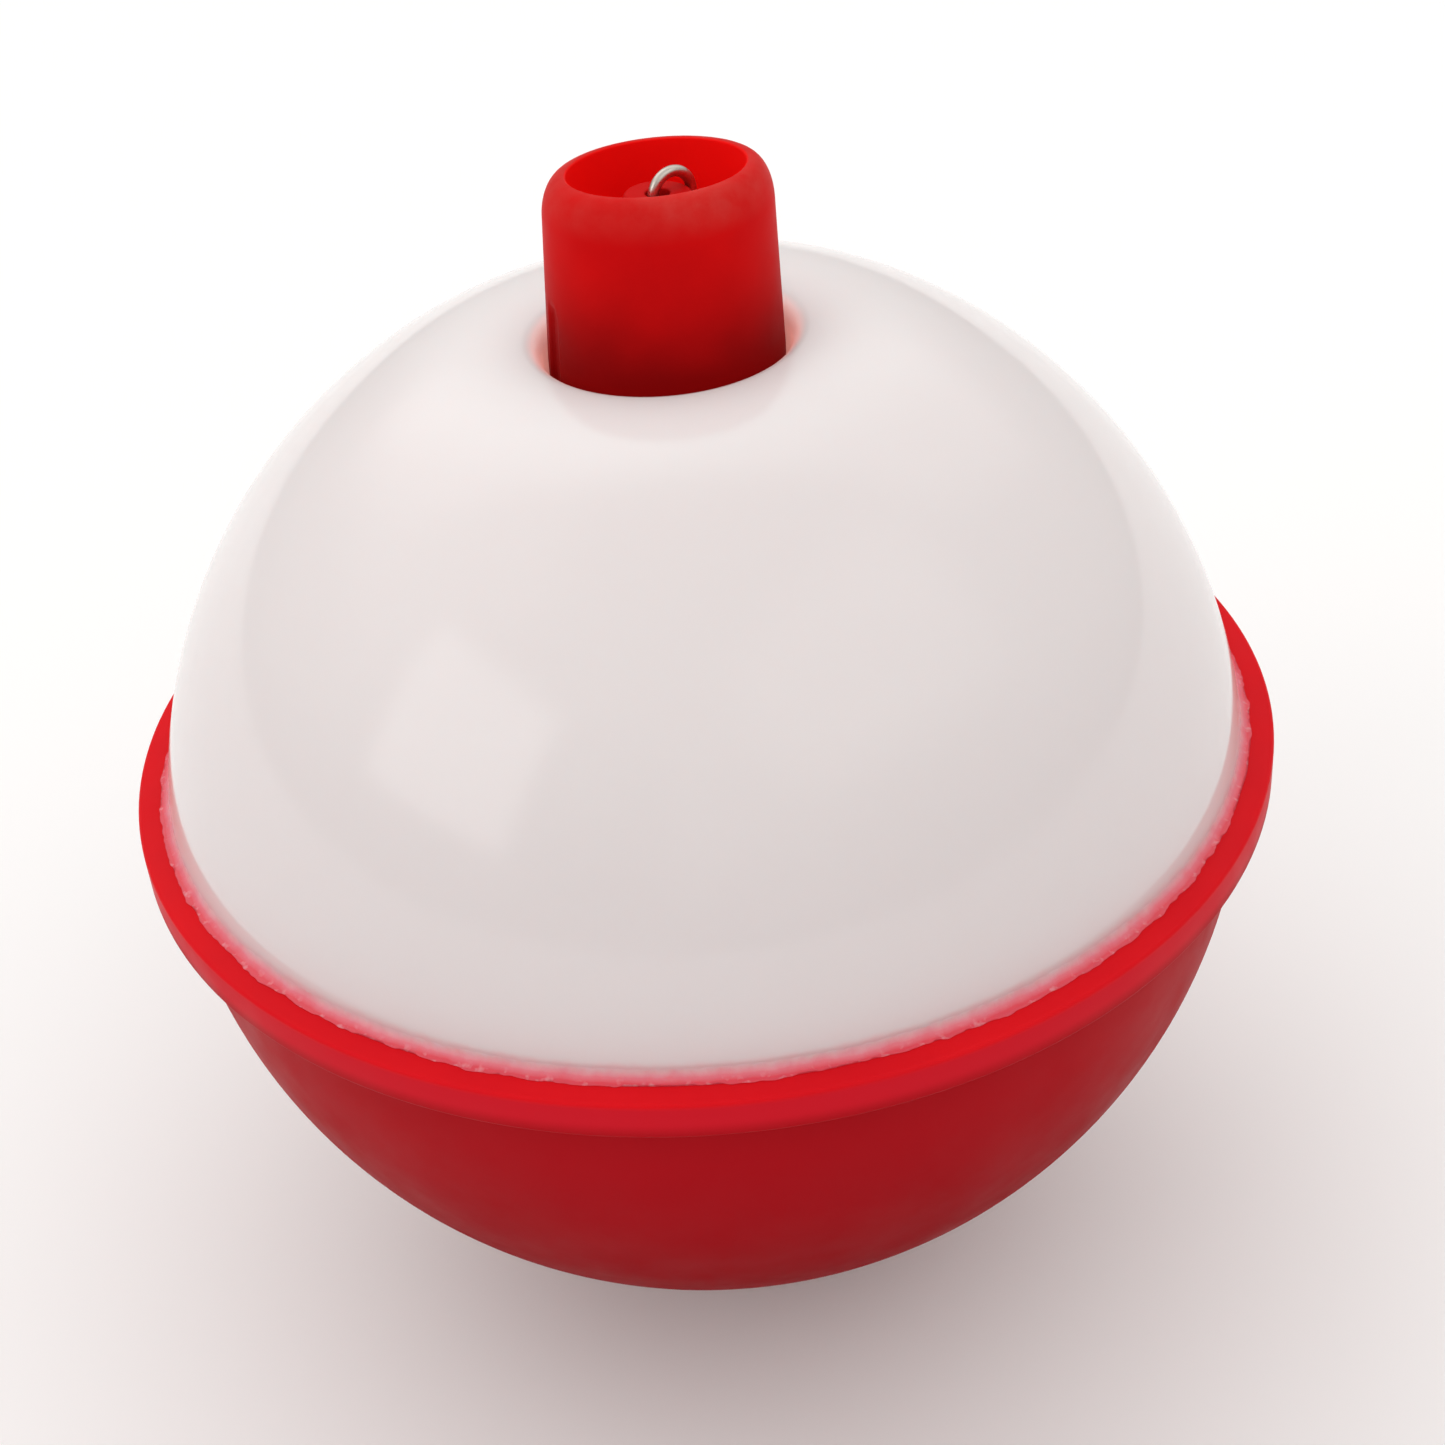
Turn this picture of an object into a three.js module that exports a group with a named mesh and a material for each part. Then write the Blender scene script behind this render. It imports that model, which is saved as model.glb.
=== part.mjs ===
// Round push-button fishing float: two moulded half shells welded at a flanged seam, a spring-loaded
// push button in a well through the middle, and one wire with a line hook at each end.
// Units are millimetres, +Z up. The group's origin is on the float's axis, at the end face of the
// bottom boss, where the wire comes out. Inside, heights are counted from the seam plane.
import * as THREE from "three";

// ---- Driving dimensions ----
const BALL_R = 31.5; // outer radius of both half shells
const UPPER_CENTRE_Z = -4.3; // centre of the upper shell's sphere, below the seam
const LOWER_CENTRE_Z = -2.7; // centre of the lower shell's sphere, below the seam
const CROWN_FROM_R = 15; // radius at which the dome leaves the sphere for its flatter crown
const CROWN_R = 12; // rounding of that crown, down to the lip of the well
const WALL = 1.6; // shell wall
const FLANGE_R = 33; // outer radius of the lower shell's flange
const FLANGE_DEPTH = 2.2; // height of the flange below the seam
const FLANGE_ROUND = 0.5; // rounding of the flange's upper corner
const SPIGOT_R = 30.2; // outer radius of the upper shell's spigot
const SPIGOT_WALL = 1.1;
const SPIGOT_DEPTH = 3;
const FIT_GAP = 0.3; // clearance of the spigot and of the well tube in their sockets

const WELL_R = 6.7; // bore that the button slides in
const WELL_WALL = 1.2;
const LIP_ROUND = 1.2; // rounding where the dome turns down into the well
const TUBE_END_Z = -14; // where the upper shell's tube sits on the lower shell's socket
const SOCKET_RISE = 4; // how far the socket reaches up around the tube
const WELL_FLOOR_Z = -31;

const BOSS_R = 2; // bottom boss
const BOSS_LENGTH = 2; // how far it stands out of the pole
const WIRE_HOLE_R = 0.5;

const BUTTON_TOP_Z = 33.75;
const BUTTON_TOP_R = 5.85;
const BUTTON_R = 6.35; // from the dome's level down
const BUTTON_LENGTH = 20;
const BUTTON_ROUND = 1; // rounding of the button's top outer corner
const MOUTH_R = 4.65; // mouth of the cup in the button's top
const CUP_DEPTH = 6;
const CUP_DRAFT = 0.2;
const WEB = 1.4; // floor of the cup
const SKIRT_R = 5; // bore of the button's open lower end
const POST_R = 1.85; // post in the middle of the cup, which the wire comes out of
const POST_Z = 32.35; // its top
const GUIDE_DEPTH = 4; // how far the post goes on below the web, inside the spring

const WIRE_R = 0.3;
const TOP_HOOK_SINK = 0.55; // how far the hooks' bends start inside the faces they close on
const LOW_HOOK_SINK = 0.2;
const TOP_HOOK_SPAN = 2.4; // from the straight wire to the hook's point
const LOW_HOOK_SPAN = 2.6;
const TOP_HOOK_TIP = 1.4; // straight length of the point
const LOW_HOOK_TIP = 1.2;
const HOOK_AZIMUTH = THREE.MathUtils.degToRad(33); // where the hooks point, about Z

const SPRING_WIRE_R = 0.35;
const SPRING_R = 3.6; // coil radius at the wire's centre
const SPRING_COILS = 15;
const SPRING_CLOSED = 1; // closed coils at each end
const SPRING_GAP = 0.05; // clearance at both seats

const BEAD_R = 31.3; // inner radius of the weld bead on the ledge
const BEAD_WIDTH = 0.65;
const BEAD_HEIGHT = 0.8;
const BEAD_LIFT = 0.02;

const AROUND = 56; // facets round the big shells
const AROUND_SMALL = 40; // facets round the button
const ARC_STEPS = 11; // facets along a shell's profile from seam to pole

const POLE_Z = LOWER_CENTRE_Z - BALL_R;
const BOSS_Z = POLE_Z - BOSS_LENGTH; // end face of the bottom boss
const WEB_TOP_Z = BUTTON_TOP_Z - CUP_DEPTH;
const WEB_LOW_Z = WEB_TOP_Z - WEB;
const TUBE_R = WELL_R + WELL_WALL;
const SOCKET_IN_R = TUBE_R + FIT_GAP;
const SOCKET_OUT_R = SOCKET_IN_R + WELL_WALL;
const CROWN_CENTRE_R = CROWN_FROM_R * (1 - CROWN_R / BALL_R); // centre of the crown's rounding
const CROWN_CENTRE_Z =
  UPPER_CENTRE_Z + Math.sqrt(BALL_R ** 2 - CROWN_FROM_R ** 2) * (1 - CROWN_R / BALL_R);
const CROWN_Z = CROWN_CENTRE_Z + CROWN_R; // the dome's highest circle

// ---- Materials ----
const plastic = (color, roughness) => new THREE.MeshStandardMaterial({ color, roughness, metalness: 0 });
const metal = (color, roughness) => new THREE.MeshStandardMaterial({ color, roughness, metalness: 1 });
const whitePlastic = plastic(0xe9e3e2, 0.25);
const redPlastic = plastic(0xb3101a, 0.35);
const stainless = metal(0xb9b2a8, 0.25);
const springSteel = metal(0x9a9a9c, 0.35);

// ---- Helpers ----
// Points on a circle in the profile plane, as [radius, height] pairs.
function arc(centreR, centreZ, radius, fromDeg, toDeg, steps) {
  return Array.from({ length: steps + 1 }, (_, i) => {
    const a = THREE.MathUtils.degToRad(fromDeg + ((toDeg - fromDeg) * i) / steps);
    return [centreR + radius * Math.cos(a), centreZ + radius * Math.sin(a)];
  });
}

// Angle in degrees, seen from a sphere's centre on the axis, of the point at that radius or height.
const angleAtRadius = (sphereR, r) => THREE.MathUtils.radToDeg(Math.acos(r / sphereR));
const angleAtHeight = (sphereR, z) => THREE.MathUtils.radToDeg(Math.asin(z / sphereR));

// A closed solid of revolution about Z from a loop of [radius, height] pairs, listed
// counter-clockwise with the axis on the left.
function revolve(loop, segments) {
  const points = [...loop, loop[0]].map(([r, z]) => new THREE.Vector2(r, z));
  return new THREE.LatheGeometry(points, segments).rotateX(Math.PI / 2);
}

function mesh(name, geometry, material) {
  const made = new THREE.Mesh(geometry, material);
  made.name = name;
  return made;
}

// A path through stations, where each step of the extrusion ends on a station.
class StationCurve extends THREE.Curve {
  constructor(stations) {
    super();
    this.stations = stations;
  }
  getPoint(t, target = new THREE.Vector3()) {
    const last = this.stations.length - 1;
    const at = THREE.MathUtils.clamp(t, 0, 1) * last;
    const i = Math.min(Math.floor(at), last - 1);
    return target.lerpVectors(this.stations[i], this.stations[i + 1], at - i);
  }
  getPointAt(u, target) {
    return this.getPoint(u, target);
  }
  getTangentAt(u, target) {
    return this.getTangent(u, target);
  }
}

// A round wire along a path.
function wireAlong(path, radius, sides, steps) {
  const section = Array.from({ length: sides }, (_, i) => {
    const a = (2 * Math.PI * i) / sides;
    return new THREE.Vector2(radius * Math.cos(a), radius * Math.sin(a));
  });
  return new THREE.ExtrudeGeometry(new THREE.Shape(section), { steps, extrudePath: path });
}

// ---- Upper shell: dome with its crown, rolled lip, well tube and spigot in one moulding ----
function upperShell() {
  const lipR = WELL_R + LIP_ROUND;
  const lipZ = CROWN_CENTRE_Z + Math.sqrt((CROWN_R - LIP_ROUND) ** 2 - (CROWN_CENTRE_R - lipR) ** 2);
  const lipAngle = angleAtRadius(CROWN_R - LIP_ROUND, lipR - CROWN_CENTRE_R);
  const crownAngle = angleAtRadius(BALL_R, CROWN_FROM_R);
  const innerR = BALL_R - WALL;
  const innerCrownR = CROWN_R - WALL;
  const spigotIn = SPIGOT_R - SPIGOT_WALL;
  const innerStart = angleAtRadius(innerCrownR, TUBE_R - CROWN_CENTRE_R);
  const innerEnd = angleAtRadius(innerR, spigotIn);
  const loop = [
    [SPIGOT_R, -SPIGOT_DEPTH],
    [SPIGOT_R, 0],
    ...arc(0, UPPER_CENTRE_Z, BALL_R, angleAtHeight(BALL_R, -UPPER_CENTRE_Z), crownAngle, ARC_STEPS - 2),
    ...arc(CROWN_CENTRE_R, CROWN_CENTRE_Z, CROWN_R, crownAngle, lipAngle, 4).slice(1),
    ...arc(lipR, lipZ, LIP_ROUND, lipAngle, 180, 4).slice(1),
    [WELL_R, TUBE_END_Z],
    [TUBE_R, TUBE_END_Z],
    ...arc(CROWN_CENTRE_R, CROWN_CENTRE_Z, innerCrownR, innerStart, crownAngle, 3),
    ...arc(0, UPPER_CENTRE_Z, innerR, crownAngle, innerEnd, ARC_STEPS - 3).slice(1),
    [spigotIn, -SPIGOT_DEPTH],
  ];
  return revolve(loop, AROUND);
}

// ---- Lower shell: bowl, flange, tube socket, well floor and bottom boss in one moulding ----
function lowerShell() {
  const innerR = BALL_R - WALL;
  const register = SPIGOT_R + FIT_GAP;
  const shelfZ = -SPIGOT_DEPTH - FIT_GAP;
  const roundR = FLANGE_R - FLANGE_ROUND;
  const innerFrom = angleAtHeight(innerR, shelfZ - LOWER_CENTRE_Z);
  const bowl = arc(0, LOWER_CENTRE_Z, BALL_R, -angleAtRadius(BALL_R, BOSS_R),
    angleAtHeight(BALL_R, -FLANGE_DEPTH - LOWER_CENTRE_Z), ARC_STEPS + 1);
  const inside = arc(0, LOWER_CENTRE_Z, innerR, innerFrom, -angleAtRadius(innerR, SOCKET_OUT_R), ARC_STEPS);
  const loop = [
    [WIRE_HOLE_R, BOSS_Z],
    [BOSS_R, BOSS_Z],
    ...bowl,
    [FLANGE_R, -FLANGE_DEPTH],
    ...arc(roundR, -FLANGE_ROUND, FLANGE_ROUND, 0, 90, 3),
    [register, 0],
    [register, shelfZ],
    ...inside,
    [SOCKET_OUT_R, TUBE_END_Z + SOCKET_RISE],
    [SOCKET_IN_R, TUBE_END_Z + SOCKET_RISE],
    [SOCKET_IN_R, TUBE_END_Z],
    [WELL_R, TUBE_END_Z],
    [WELL_R, WELL_FLOOR_Z],
    [WIRE_HOLE_R, WELL_FLOOR_Z],
  ];
  return revolve(loop, AROUND);
}

// ---- Weld bead: what the welded seam squeezes out onto the ledge ----
function weldBead() {
  const loop = [
    [BEAD_R, BEAD_LIFT],
    [BEAD_R + BEAD_WIDTH, BEAD_LIFT],
    [BEAD_R, BEAD_HEIGHT],
  ];
  return revolve(loop, AROUND);
}

// ---- Push button: cup with a wire post on top, open skirt round the spring below ----
function pushButton() {
  const skirtZ = BUTTON_TOP_Z - BUTTON_LENGTH;
  const roundR = BUTTON_TOP_R - BUTTON_ROUND;
  const loop = [
    [SKIRT_R, skirtZ],
    [BUTTON_R, skirtZ],
    [BUTTON_R, CROWN_Z - LIP_ROUND],
    ...arc(roundR, BUTTON_TOP_Z - BUTTON_ROUND, BUTTON_ROUND, 0, 90, 4),
    [MOUTH_R, BUTTON_TOP_Z],
    [MOUTH_R - CUP_DRAFT, WEB_TOP_Z],
    [POST_R, WEB_TOP_Z],
    [POST_R, POST_Z],
    [WIRE_HOLE_R, POST_Z],
    [WIRE_HOLE_R, WEB_LOW_Z - GUIDE_DEPTH],
    [POST_R, WEB_LOW_Z - GUIDE_DEPTH],
    [POST_R, WEB_LOW_Z],
    [SKIRT_R, WEB_LOW_Z],
  ];
  return revolve(loop, AROUND_SMALL);
}

// ---- Line wire: one straight wire with a hook bent at each end ----
// Stations of a hook from its point to the straight wire; up is 1 at the top end and -1 at the bottom.
function hookStations(span, tip, baseZ, up) {
  const bendR = span / 2;
  const bend = arc(bendR, 0, bendR, 0, 180, 9);
  return [[span, -tip], ...bend].map(
    ([r, z]) => new THREE.Vector3(r * Math.cos(HOOK_AZIMUTH), r * Math.sin(HOOK_AZIMUTH), baseZ + up * z),
  );
}

function lineWire() {
  const top = hookStations(TOP_HOOK_SPAN, TOP_HOOK_TIP, POST_Z - TOP_HOOK_SINK, 1);
  const bottom = hookStations(LOW_HOOK_SPAN, LOW_HOOK_TIP, BOSS_Z + LOW_HOOK_SINK, -1);
  const stations = [...bottom, ...top.reverse()];
  return wireAlong(new StationCurve(stations), WIRE_R, 8, stations.length - 1);
}

// ---- Return spring: open coils between two closed ends ----
class SpringCurve extends THREE.Curve {
  getPoint(t, target = new THREE.Vector3()) {
    const low = WELL_FLOOR_Z + SPRING_WIRE_R + SPRING_GAP;
    const high = WEB_LOW_Z - SPRING_WIRE_R - SPRING_GAP;
    const closedRise = 2 * SPRING_WIRE_R * 1.1 * SPRING_CLOSED;
    const turn = t * SPRING_COILS;
    const fromTop = SPRING_COILS - turn;
    const openRise = (high - low - 2 * closedRise) / (SPRING_COILS - 2 * SPRING_CLOSED);
    let z = low + closedRise + (turn - SPRING_CLOSED) * openRise;
    if (turn < SPRING_CLOSED) z = low + closedRise * (turn / SPRING_CLOSED);
    if (fromTop < SPRING_CLOSED) z = high - closedRise * (fromTop / SPRING_CLOSED);
    const a = 2 * Math.PI * turn;
    return target.set(SPRING_R * Math.cos(a), SPRING_R * Math.sin(a), z);
  }
}

function returnSpring() {
  return wireAlong(new SpringCurve(), SPRING_WIRE_R, 6, SPRING_COILS * 14);
}

// ---- Assembly ----
const seamFrame = new THREE.Group();
seamFrame.position.z = -BOSS_Z;
seamFrame.add(
  mesh("upper_shell", upperShell(), whitePlastic),
  mesh("lower_shell", lowerShell(), redPlastic),
  mesh("seam_weld_bead", weldBead(), redPlastic),
  mesh("push_button", pushButton(), redPlastic),
  mesh("line_wire", lineWire(), stainless),
  mesh("return_spring", returnSpring(), springSteel),
);

const float = new THREE.Group();
float.add(seamFrame);

export default float;
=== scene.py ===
"""Looks of a round push-button fishing float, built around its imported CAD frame.

Lengths in this script are millimetres and heights are counted from the welded seam, as in the
CAD source; the helpers turn them into metres in the row frame.
"""

import math

import bpy
import bmesh
from mathutils import Matrix, Vector, noise


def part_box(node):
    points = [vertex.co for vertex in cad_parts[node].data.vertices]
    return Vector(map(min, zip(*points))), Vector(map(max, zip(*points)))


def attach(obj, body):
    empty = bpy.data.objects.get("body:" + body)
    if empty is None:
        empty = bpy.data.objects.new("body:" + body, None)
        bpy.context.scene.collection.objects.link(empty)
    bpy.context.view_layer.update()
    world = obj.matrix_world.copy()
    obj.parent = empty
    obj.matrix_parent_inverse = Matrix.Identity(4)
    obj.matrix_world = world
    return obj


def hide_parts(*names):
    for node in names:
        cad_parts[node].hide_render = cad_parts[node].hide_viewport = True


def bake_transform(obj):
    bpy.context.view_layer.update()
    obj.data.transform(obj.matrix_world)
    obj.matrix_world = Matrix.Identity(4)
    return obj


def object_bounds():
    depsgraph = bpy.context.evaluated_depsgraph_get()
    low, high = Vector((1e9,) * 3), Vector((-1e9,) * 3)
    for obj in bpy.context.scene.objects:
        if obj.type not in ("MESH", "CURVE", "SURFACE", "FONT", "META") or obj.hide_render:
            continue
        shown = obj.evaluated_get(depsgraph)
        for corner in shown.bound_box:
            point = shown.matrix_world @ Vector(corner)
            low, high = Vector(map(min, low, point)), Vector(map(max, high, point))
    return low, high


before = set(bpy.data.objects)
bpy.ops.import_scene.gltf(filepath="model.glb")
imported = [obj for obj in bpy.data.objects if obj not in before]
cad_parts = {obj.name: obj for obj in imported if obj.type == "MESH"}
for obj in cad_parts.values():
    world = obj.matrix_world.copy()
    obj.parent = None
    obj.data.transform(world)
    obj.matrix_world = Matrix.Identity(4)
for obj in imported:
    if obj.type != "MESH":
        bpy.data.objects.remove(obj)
cad_low, cad_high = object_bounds()

MM = 0.001
SEAM_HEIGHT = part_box("lower_shell")[1].z / MM  # the ledge's top face is the seam plane
FLOOR_Z = cad_low.z - 0.02 * MM

# ---- Shells ----
BALL_R = 31.5
UPPER_CENTRE = -4.3  # centre of the dome's sphere
LOWER_CENTRE = -2.7  # centre of the bowl's sphere
CROWN_FROM_R, CROWN_R = 15.0, 12.0  # where the dome leaves the sphere, and its crown's tighter curve
WALL = 1.6
FLANGE_R = 33.0
FLANGE_DEPTH = 2.2
SPIGOT_R, SPIGOT_WALL, SPIGOT_DEPTH = 30.2, 1.1, 3.0
FIT_GAP = 0.3
WELL_R, WELL_WALL = 6.7, 1.2
LIP_ROUND = 1.2  # rounding of the dome's lip, where the well opens
CROWN_CENTRE_R = CROWN_FROM_R * (1 - CROWN_R / BALL_R)
CROWN_CENTRE_Z = UPPER_CENTRE + math.sqrt(BALL_R**2 - CROWN_FROM_R**2) * (1 - CROWN_R / BALL_R)
EASE = 3.5  # half the stretch over which the sphere tightens into the crown
TUBE_END, SOCKET_RISE, WELL_FLOOR = -14.0, 4.0, -31.0  # the bowl's socket rises round the tube
BOSS_R, BOSS_LENGTH, BOSS_ROOT, WIRE_HOLE_R = 2.0, 2.0, 0.3, 0.5
BOSS_Z = LOWER_CENTRE - BALL_R - BOSS_LENGTH

# ---- Button ----
BUTTON_TOP, BUTTON_LENGTH = 33.75, 20.0
BUTTON_TOP_R, BUTTON_R = 5.97, 6.35
MOUTH_R, CUP_DEPTH, CUP_DRAFT, WEB = 4.65, 6.0, 0.2, 1.4
SKIRT_R, POST_R, POST_TOP, GUIDE_DEPTH = 5.0, 1.8, 32.35, 4.0
BORE_R = 0.64  # of the post: the wire stays upright in it while the button leans
LEAN_RIGHT, LEAN_BACK = math.radians(1.75), math.radians(0.8)  # play of the button in its well
LEAN_PIVOT = BUTTON_TOP - BUTTON_LENGTH / 2

# ---- Wire and spring ----
WIRE_R = 0.3
TOP_SINK, LOW_SINK = 0.36, 0.2  # how far each hook's bend starts inside the post or the boss
TOP_SPAN, LOW_SPAN = 2.4, 2.6  # from the wire to its hook's point
TOP_TIP, LOW_TIP = 1.4, 1.2  # straight length of each hook's point
TAPER, TAPER_R = 0.06, 0.24  # the blunt end of the point
HOOK_AZIMUTH = math.radians(33)
SPRING_WIRE_R, SPRING_R, SPRING_COILS, SPRING_GAP = 0.35, 3.6, 15, 0.2

# ---- Facets round the axis, of the shells, the button and the weld bead ----
AROUND, BUTTON_AROUND, BEAD_AROUND = 224, 320, 2160


# ---------------------------------------------------------------- camera
CAMERA_DISTANCE = 141.6
CAMERA_ELEVATION = math.radians(34.66)
CAMERA_ROLL = math.radians(5.4)
CAMERA_AIM = (1.25, -0.71)  # what the camera points at, right of and above the seam's centre
LENS_MM, SENSOR_MM = 59.8, 36.0


def make_camera():
    """Looks down on the float from in front, rolled a little."""
    sin_e, cos_e = math.sin(CAMERA_ELEVATION), math.cos(CAMERA_ELEVATION)
    back = Vector((0, -cos_e, sin_e))
    right = Vector((1, 0, 0))
    up = back.cross(right)
    leaning_right = right * math.cos(CAMERA_ROLL) - up * math.sin(CAMERA_ROLL)
    leaning_up = up * math.cos(CAMERA_ROLL) + right * math.sin(CAMERA_ROLL)
    seam_centre = Vector((0, 0, SEAM_HEIGHT)) * MM
    eye = seam_centre + back * CAMERA_DISTANCE * MM
    target = seam_centre + (leaning_right * CAMERA_AIM[0] + leaning_up * CAMERA_AIM[1]) * MM
    z_axis = (eye - target).normalized()
    x_axis = leaning_up.cross(z_axis).normalized()
    y_axis = z_axis.cross(x_axis)
    data = bpy.data.cameras.new("camera")
    data.lens, data.sensor_width = LENS_MM, SENSOR_MM
    data.clip_start, data.clip_end = 0.005, 20
    camera = bpy.data.objects.new("camera", data)
    rotation = Matrix((x_axis, y_axis, z_axis)).transposed()
    camera.matrix_world = Matrix.Translation(eye) @ rotation.to_4x4()
    bpy.context.scene.collection.objects.link(camera)
    bpy.context.scene.camera = camera


# ---------------------------------------------------------------- mesh helpers
def place(point):
    """A point in millimetres from the seam's centre, as metres in the row frame."""
    return Vector((point[0], point[1], point[2] + SEAM_HEIGHT)) * MM


def add_piece(name, bm, material, slot, *nodes, body=None):
    """Turns a bmesh into a smooth piece that stands for CAD nodes and, if named, rides on a body."""
    bmesh.ops.recalc_face_normals(bm, faces=bm.faces)
    mesh = bpy.data.meshes.new(name)
    bm.to_mesh(mesh)
    bm.free()
    mesh.shade_smooth()
    mesh.materials.append(material)
    piece = bpy.data.objects.new(name, mesh)
    bpy.context.scene.collection.objects.link(piece)
    if body:
        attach(piece, body)
    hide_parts(*nodes)
    return piece


def arc(centre_r, centre_z, radius, start, end, steps):
    """Points on a circle in the profile plane, as (radius, height) pairs; angles in degrees."""
    angles = [math.radians(start + (end - start) * i / steps) for i in range(steps + 1)]
    return [(centre_r + radius * math.cos(a), centre_z + radius * math.sin(a)) for a in angles]


def rounded(corners, steps=5):
    """A profile loop from (r, z) points and (r, z, fillet) corners, with each fillet as an arc."""
    out = []
    count = len(corners)
    for i, corner in enumerate(corners):
        here = Vector(corner[:2])
        if len(corner) == 2:
            out.append((here.x, here.y))
            continue
        to_last = (Vector(corners[i - 1][:2]) - here).normalized()
        to_next = (Vector(corners[(i + 1) % count][:2]) - here).normalized()
        half = to_last.angle(to_next) / 2
        middle = (to_last + to_next).normalized()
        centre = here + middle * (corner[2] / math.sin(half))
        begin = here + to_last * (corner[2] / math.tan(half)) - centre
        finish = here + to_next * (corner[2] / math.tan(half)) - centre
        for s in range(steps + 1):
            spoke = begin.lerp(finish, s / steps)
            spoke = spoke.normalized() * corner[2]
            out.append((centre.x + spoke.x, centre.y + spoke.y))
    return out


def subdivide_long(loop, longest=1.5):
    """Cuts the profile's long straight stretches, so that rings stay close enough to bend."""
    out = []
    for i, point in enumerate(loop):
        after = loop[(i + 1) % len(loop)]
        pieces = max(1, math.ceil(math.dist(point, after) / longest))
        out += [tuple(Vector(point).lerp(Vector(after), k / pieces)) for k in range(pieces)]
    return out


def spin(profile, around):
    """A closed ring round Z; profile(angle) gives the loop of (r, z) points at that angle."""
    bm = bmesh.new()
    rings = []
    for j in range(around):
        a = 2 * math.pi * j / around
        points = [place((r * math.cos(a), r * math.sin(a), z)) for r, z in profile(a)]
        rings.append([bm.verts.new(point) for point in points])
    for j, ring in enumerate(rings):
        beside = rings[(j + 1) % around]
        for i in range(len(ring)):
            k = (i + 1) % len(ring)
            bm.faces.new((ring[i], beside[i], beside[k], ring[k]))
    return bm


def sweep(path, radii, sides):
    """A tube along points in millimetres, with a radius for each point and closed ends."""
    bm = bmesh.new()
    rings = []
    side = None
    for i, point in enumerate(path):
        ahead = (path[min(i + 1, len(path) - 1)] - path[max(i - 1, 0)]).normalized()
        if side is None:
            side = ahead.orthogonal().normalized()
        side = (side - ahead * side.dot(ahead)).normalized()
        other = ahead.cross(side)
        ring = []
        for k in range(sides):
            a = 2 * math.pi * k / sides
            spoke = side * math.cos(a) + other * math.sin(a)
            ring.append(bm.verts.new(place(point + spoke * radii[i])))
        rings.append(ring)
    for low, high in zip(rings, rings[1:]):
        for k in range(sides):
            m = (k + 1) % sides
            bm.faces.new((low[k], low[m], high[m], high[k]))
    bm.faces.new(rings[0])
    bm.faces.new(rings[-1])
    return bm


# ---------------------------------------------------------------- material helpers
def new_material(name):
    """A new material, its node tree and its shader."""
    material = bpy.data.materials.new(name)
    material.use_nodes = True
    return material, material.node_tree, material.node_tree.nodes["Principled BSDF"]


def object_noise(tree, per_metre, detail=3.0, roughness=0.55):
    """Noise fixed to the object, from 0 to 1, with so many turns to the metre."""
    where = tree.nodes.new("ShaderNodeTexCoord")
    made = tree.nodes.new("ShaderNodeTexNoise")
    made.inputs["Scale"].default_value = per_metre
    made.inputs["Detail"].default_value = detail
    made.inputs["Roughness"].default_value = roughness
    tree.links.new(where.outputs["Object"], made.inputs["Vector"])
    return made.outputs["Fac"]


def remap(tree, value, from_min, from_max, to_min, to_max, smooth=False):
    """Carries one range over to another, and holds the value at both ends."""
    made = tree.nodes.new("ShaderNodeMapRange")
    made.interpolation_type = "SMOOTHSTEP" if smooth else "LINEAR"
    made.inputs["From Min"].default_value = from_min
    made.inputs["From Max"].default_value = from_max
    made.inputs["To Min"].default_value = to_min
    made.inputs["To Max"].default_value = to_max
    tree.links.new(value, made.inputs["Value"])
    return made.outputs["Result"]


def mix_colour(tree, factor, first, second):
    """A colour between first and second; each is an RGBA tuple or a colour output."""
    made = tree.nodes.new("ShaderNodeMix")
    made.data_type = "RGBA"
    tree.links.new(factor, made.inputs["Factor"])
    for value, socket in ((first, made.inputs[6]), (second, made.inputs[7])):
        if isinstance(value, tuple):
            socket.default_value = value
        else:
            tree.links.new(value, socket)
    return made.outputs[2]


def bump(tree, height, strength, distance_mm):
    """A surface normal that follows a height."""
    made = tree.nodes.new("ShaderNodeBump")
    made.inputs["Strength"].default_value = strength
    made.inputs["Distance"].default_value = distance_mm * MM
    tree.links.new(height, made.inputs["Height"])
    return made.outputs["Normal"]


def dot(tree, vector, fixed):
    """The part of a vector that lies along a fixed direction."""
    made = tree.nodes.new("ShaderNodeVectorMath")
    made.operation = "DOT_PRODUCT"
    tree.links.new(vector, made.inputs[0])
    made.inputs[1].default_value = fixed
    return made.outputs["Value"]


def math_node(tree, operation, *values):
    """One arithmetic step; each value is a number or an output."""
    made = tree.nodes.new("ShaderNodeMath")
    made.operation = operation
    for value, socket in zip(values, made.inputs):
        if isinstance(value, (int, float)):
            socket.default_value = value
        else:
            tree.links.new(value, socket)
    return made.outputs[0]


def add(tree, first, second):
    return math_node(tree, "ADD", first, second)


def times(tree, first, second):
    return math_node(tree, "MULTIPLY", first, second)


def radius_from_axis(tree, centre=(0, 0)):
    """Millimetres from an upright axis, which is the float's own unless a centre is given."""
    where = tree.nodes.new("ShaderNodeTexCoord")
    flat = tree.nodes.new("ShaderNodeVectorMath")
    flat.operation = "MULTIPLY_ADD"
    flat.inputs[1].default_value = (1 / MM, 1 / MM, 0)
    flat.inputs[2].default_value = (-centre[0], -centre[1], 0)
    tree.links.new(where.outputs["Object"], flat.inputs[0])
    length = tree.nodes.new("ShaderNodeVectorMath")
    length.operation = "LENGTH"
    tree.links.new(flat.outputs[0], length.inputs[0])
    return length.outputs["Value"]


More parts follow.
